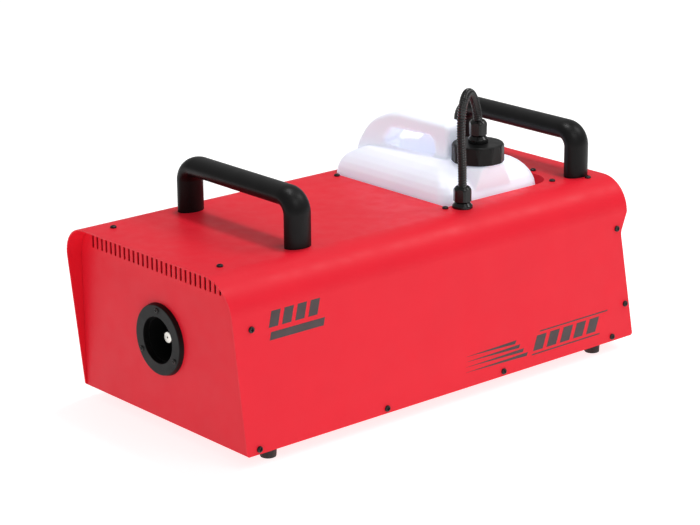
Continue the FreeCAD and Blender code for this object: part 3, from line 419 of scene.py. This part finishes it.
def curve_points(points):
    """The smooth line of a route, read as points from a NURBS spline."""
    curve = bpy.data.curves.new("route", "CURVE")
    curve.dimensions = "3D"
    curve.resolution_u = 24
    spline = curve.splines.new("NURBS")
    spline.points.add(len(points) - 1)
    for control, point in zip(spline.points, points):
        control.co = (*point, 1.0)
    spline.order_u = 3
    spline.use_endpoint_u = True
    holder = bpy.data.objects.new("route", curve)
    bpy.context.scene.collection.objects.link(holder)
    bpy.context.view_layer.update()
    line = bpy.data.meshes.new_from_object(holder)
    places = [vertex.co.copy() for vertex in line.vertices]
    bpy.data.meshes.remove(line)
    bpy.data.objects.remove(holder)
    bpy.data.curves.remove(curve)
    return places


def spaced(points, step):
    """The same line as evenly spaced points, about a step apart."""
    total = sum((b - a).length for a, b in zip(points, points[1:]))
    count = max(2, round(total / step))
    step = total / count
    places = [points[0]]
    travelled = 0.0
    for a, b in zip(points, points[1:]):
        run = (b - a).length
        while len(places) < count and travelled + run >= step * len(places):
            places.append(a.lerp(b, (step * len(places) - travelled) / run))
        travelled += run
    places.append(points[-1])
    return places


def ringed_tube(path, radius_at, sides):
    """Tube whose radius follows radius_at(ring number), closed at both ends."""
    shape = bmesh.new()
    across = Vector((1, 0, 0))
    rings = []
    for i, place in enumerate(path):
        heading = (path[min(i + 1, len(path) - 1)] - path[max(i - 1, 0)]).normalized()
        across = (across - heading * across.dot(heading)).normalized()
        aside = heading.cross(across)
        radius = radius_at(i)
        ring = []
        for k in range(sides):
            turn = 2 * math.pi * k / sides
            outward = across * math.cos(turn) + aside * math.sin(turn)
            ring.append(shape.verts.new(place + outward * radius))
        rings.append(ring)
    for first, second in zip(rings, rings[1:]):
        for k in range(sides):
            shape.faces.new((first[k], first[(k + 1) % sides], second[(k + 1) % sides], second[k]))
    shape.faces.new(reversed(rings[0]))
    shape.faces.new(rings[-1])
    return shape


# ---------------------------------------------------------------- hose conduit

# Middle line of the hose in metres, from the gland on the cover to the gland on the cap.
conduit_route = [
    Vector((0.0987, 0.0631, 0.2140)),
    Vector((0.0992, 0.0624, 0.2375)),
    Vector((0.1010, 0.0598, 0.2605)),
    Vector((0.1035, 0.0561, 0.2820)),
    Vector((0.1038, 0.0557, 0.3030)),
    Vector((0.0976, 0.0648, 0.3190)),
    Vector((0.0874, 0.0796, 0.3245)),
    Vector((0.0770, 0.0949, 0.3200)),
    Vector((0.0677, 0.1085, 0.3100)),
    Vector((0.0596, 0.1203, 0.2960)),
    Vector((0.0541, 0.1283, 0.2810)),
    Vector((0.0540, 0.1285, 0.2675)),
]
conduit_diameter = 10 * MM
conduit_sides = 28
rib_pitch = 2.9 * MM
rib_depth = 1.15 * MM
rib_roundness = 0.7
rings_per_rib = 8
join_share = 0.62


def conduit_radius(ring):
    """Corrugation: round crests with narrower valleys between them."""
    crest = conduit_diameter / 2
    valley = crest - rib_depth
    wave = 0.5 + 0.5 * math.cos(2 * math.pi * ring / rings_per_rib)
    return valley + (crest - valley) * wave ** rib_roundness


def hose_piece(name, path):
    """One stretch of the hose, a ribbed tube along its path."""
    hose = from_bmesh(name, ringed_tube(path, conduit_radius, conduit_sides), "conduit")
    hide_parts("fluid_conduit")
    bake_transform(hose)


def make_conduit():
    """The hose from the casing to the tank, and from there to the gland that rises with the cap.

    The two stretches meet at the crest of a rib, so that the ribs run on across the join.
    """
    path = spaced(curve_points(conduit_route), rib_pitch / rings_per_rib)
    join = round(join_share * len(path) / rings_per_rib) * rings_per_rib
    hose_piece("hose_conduit", path[:join + 1])
    hose_piece("hose_conduit_end", path[join:])


# ---------------------------------------------------------------- tank

skin_voxel = 1.1 * MM
soften_factor = 0.5
soften_rounds = 9


def make_tank():
    """The tank with the soft, rounded skin of blow moulding, over the shape of its solid."""
    solid = bpy.data.objects["tank_body"]
    mesh = solid.data.copy()
    mesh.name = "fluid_tank"
    mesh.transform(solid.matrix_world)
    mesh.materials.clear()
    tank = new_object("fluid_tank", mesh, "tank")
    remesh = tank.modifiers.new("skin", "REMESH")
    remesh.mode = "VOXEL"
    remesh.voxel_size = skin_voxel
    remesh.use_smooth_shade = True
    smooth = tank.modifiers.new("soften", "SMOOTH")
    smooth.factor = soften_factor
    smooth.iterations = soften_rounds
    bpy.context.view_layer.update()
    evaluated = tank.evaluated_get(bpy.context.evaluated_depsgraph_get())
    skin = bpy.data.meshes.new_from_object(evaluated)
    tank.modifiers.clear()
    tank.data = skin
    skin.shade_smooth()
    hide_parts("tank_body")
    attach(tank, "tank")


# ---------------------------------------------------------------- printed graphics

print_lift = 0.12 * MM
badge_blocks = 4
badge_pitch = 17
badge_slant = 0.22
stripe_blocks = 5
stripe_pitch = 21
stripe_slant = 0.35
streak_count = 4
streak_step = 6

# The rear panel's foot along Y and its lean, and the display on it: how far its glass stands
# off the panel, and the height of its middle. Distances are in millimetres.
rear_foot = 562
rear_lean = math.atan(0.189)
display_glass = 0.2
display_middle = 112

# The three figures' middles in millimetres, from the left as seen from behind, half sizes of
# their bars, and the distances of the bars from a figure's middle.
figure_places = (-19, -30, -41)
bar_half_length = 1.9
level_half_length = 1.7
bar_half_width = 0.5
side_offset = 2.4
side_rise = 2.5
edge_rise = 5


def on_side(side):
    """Places on one side of the cover, from casing millimetres along Y and Z."""
    return lambda y, z, lift: Vector((side * (side_face + lift), *at(0, y, z).yz))


def on_rear(x, z, lift):
    """A place on the leaning rear panel, z measured up the panel from its foot."""
    depth = lift / MM + display_glass
    return at(
        x,
        rear_foot + depth * math.cos(rear_lean) - z * math.sin(rear_lean),
        depth * math.sin(rear_lean) + z * math.cos(rear_lean),
    )


def flat_print(name, finish, outlines, place):
    """Thin flat shapes that lie on a face, from their outlines in that face's own directions."""
    shape = bmesh.new()
    for outline in outlines:
        inner = [shape.verts.new(place(u, v, -print_lift)) for u, v in outline]
        outer = [shape.verts.new(place(u, v, print_lift)) for u, v in outline]
        count = len(outline)
        for k in range(count):
            after = (k + 1) % count
            shape.faces.new((inner[k], inner[after], outer[after], outer[k]))
        shape.faces.new(reversed(inner))
        shape.faces.new(outer)
    piece = from_bmesh(name, shape, finish, smooth=False)
    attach(piece, "casing")


def slanted_bar(slant, y, z, width, height):
    """A bar drawn from its lower front corner, which leans towards the rear as it rises."""
    shift = height * slant
    return [(y, z), (y + width, z), (y + width + shift, z + height), (y + shift, z + height)]


def streak(number):
    """A long thin triangle; each is a little higher and shorter than the one before."""
    step = streak_step * number
    return [(300, 17.5 + step), (392 - step, 15 + step), (394 - step, 19 + step)]


def make_prints():
    """Plain blocks and streaks on both sides of the cover, in place of the lettering."""
    badge = [
        slanted_bar(badge_slant, y=30 + badge_pitch * i, z=131, width=12, height=17)
        for i in range(badge_blocks)
    ]
    badge.append(slanted_bar(badge_slant, y=31, z=117.5, width=70, height=8.5))
    stripes = [streak(i) for i in range(streak_count)]
    stripes.extend(
        slanted_bar(stripe_slant, y=402 + stripe_pitch * i, z=18, width=15, height=17)
        for i in range(stripe_blocks)
    )
    for y, z in ((400, 13.4), (412, 38.4)):
        stripes.append(slanted_bar(stripe_slant, y, z, width=108, height=1.4))
    for name, side in (("right", 1), ("left", -1)):
        flat_print(name + "_badge", "print", badge, on_side(side))
        flat_print(name + "_stripes", "print", stripes, on_side(side))


def digit(middle, bars):
    """One seven-segment figure: how far across and up each bar's middle lies, and whether it stands."""
    outlines = []
    for across, rise, stands in bars:
        if stands:
            wide, tall = bar_half_width, bar_half_length
        else:
            wide, tall = level_half_length, bar_half_width
        x = middle - across
        z = display_middle + rise
        outlines.append([
            (x - wide, z - tall), (x + wide, z - tall), (x + wide, z + tall), (x - wide, z + tall),
        ])
    return outlines


def make_digits():
    """The display shows 180."""
    level = [(0, rise, False) for rise in (edge_rise, -edge_rise)]
    right = [(side_offset, rise, True) for rise in (side_rise, -side_rise)]
    left = [(-side_offset, rise, True) for rise in (side_rise, -side_rise)]
    nought = level + right + left
    eight = nought + [(0, 0, False)]
    outlines = []
    for middle, bars in zip(figure_places, (right, eight, nought)):
        outlines.extend(digit(middle, bars))
    flat_print("display_digits", "digits", outlines, on_rear)


# ---------------------------------------------------------------- floor and the rest

floor_reach = 14.0


def make_floor():
    """A square floor that glows a little, so that it comes out almost white."""
    mesh = bpy.data.meshes.new("floor")
    reach = floor_reach
    corners = [(-reach, -reach, 0), (reach, -reach, 0), (reach, reach, 0), (-reach, reach, 0)]
    mesh.from_pydata(corners, [], [(0, 1, 2, 3)])
    floor = bpy.data.objects.new("floor", mesh)
    bpy.context.scene.collection.objects.link(floor)
    material = principled(
        "pale_floor", (0.5, 0.5, 0.5), 0.75, Emission_Color=(1.0, 1.0, 1.0, 1.0), Emission_Strength=0.8,
    )
    mesh.materials.append(material)


make_camera()
make_lights()
make_conduit()
finish_nodes()
make_tank()
make_prints()
make_digits()
make_floor()
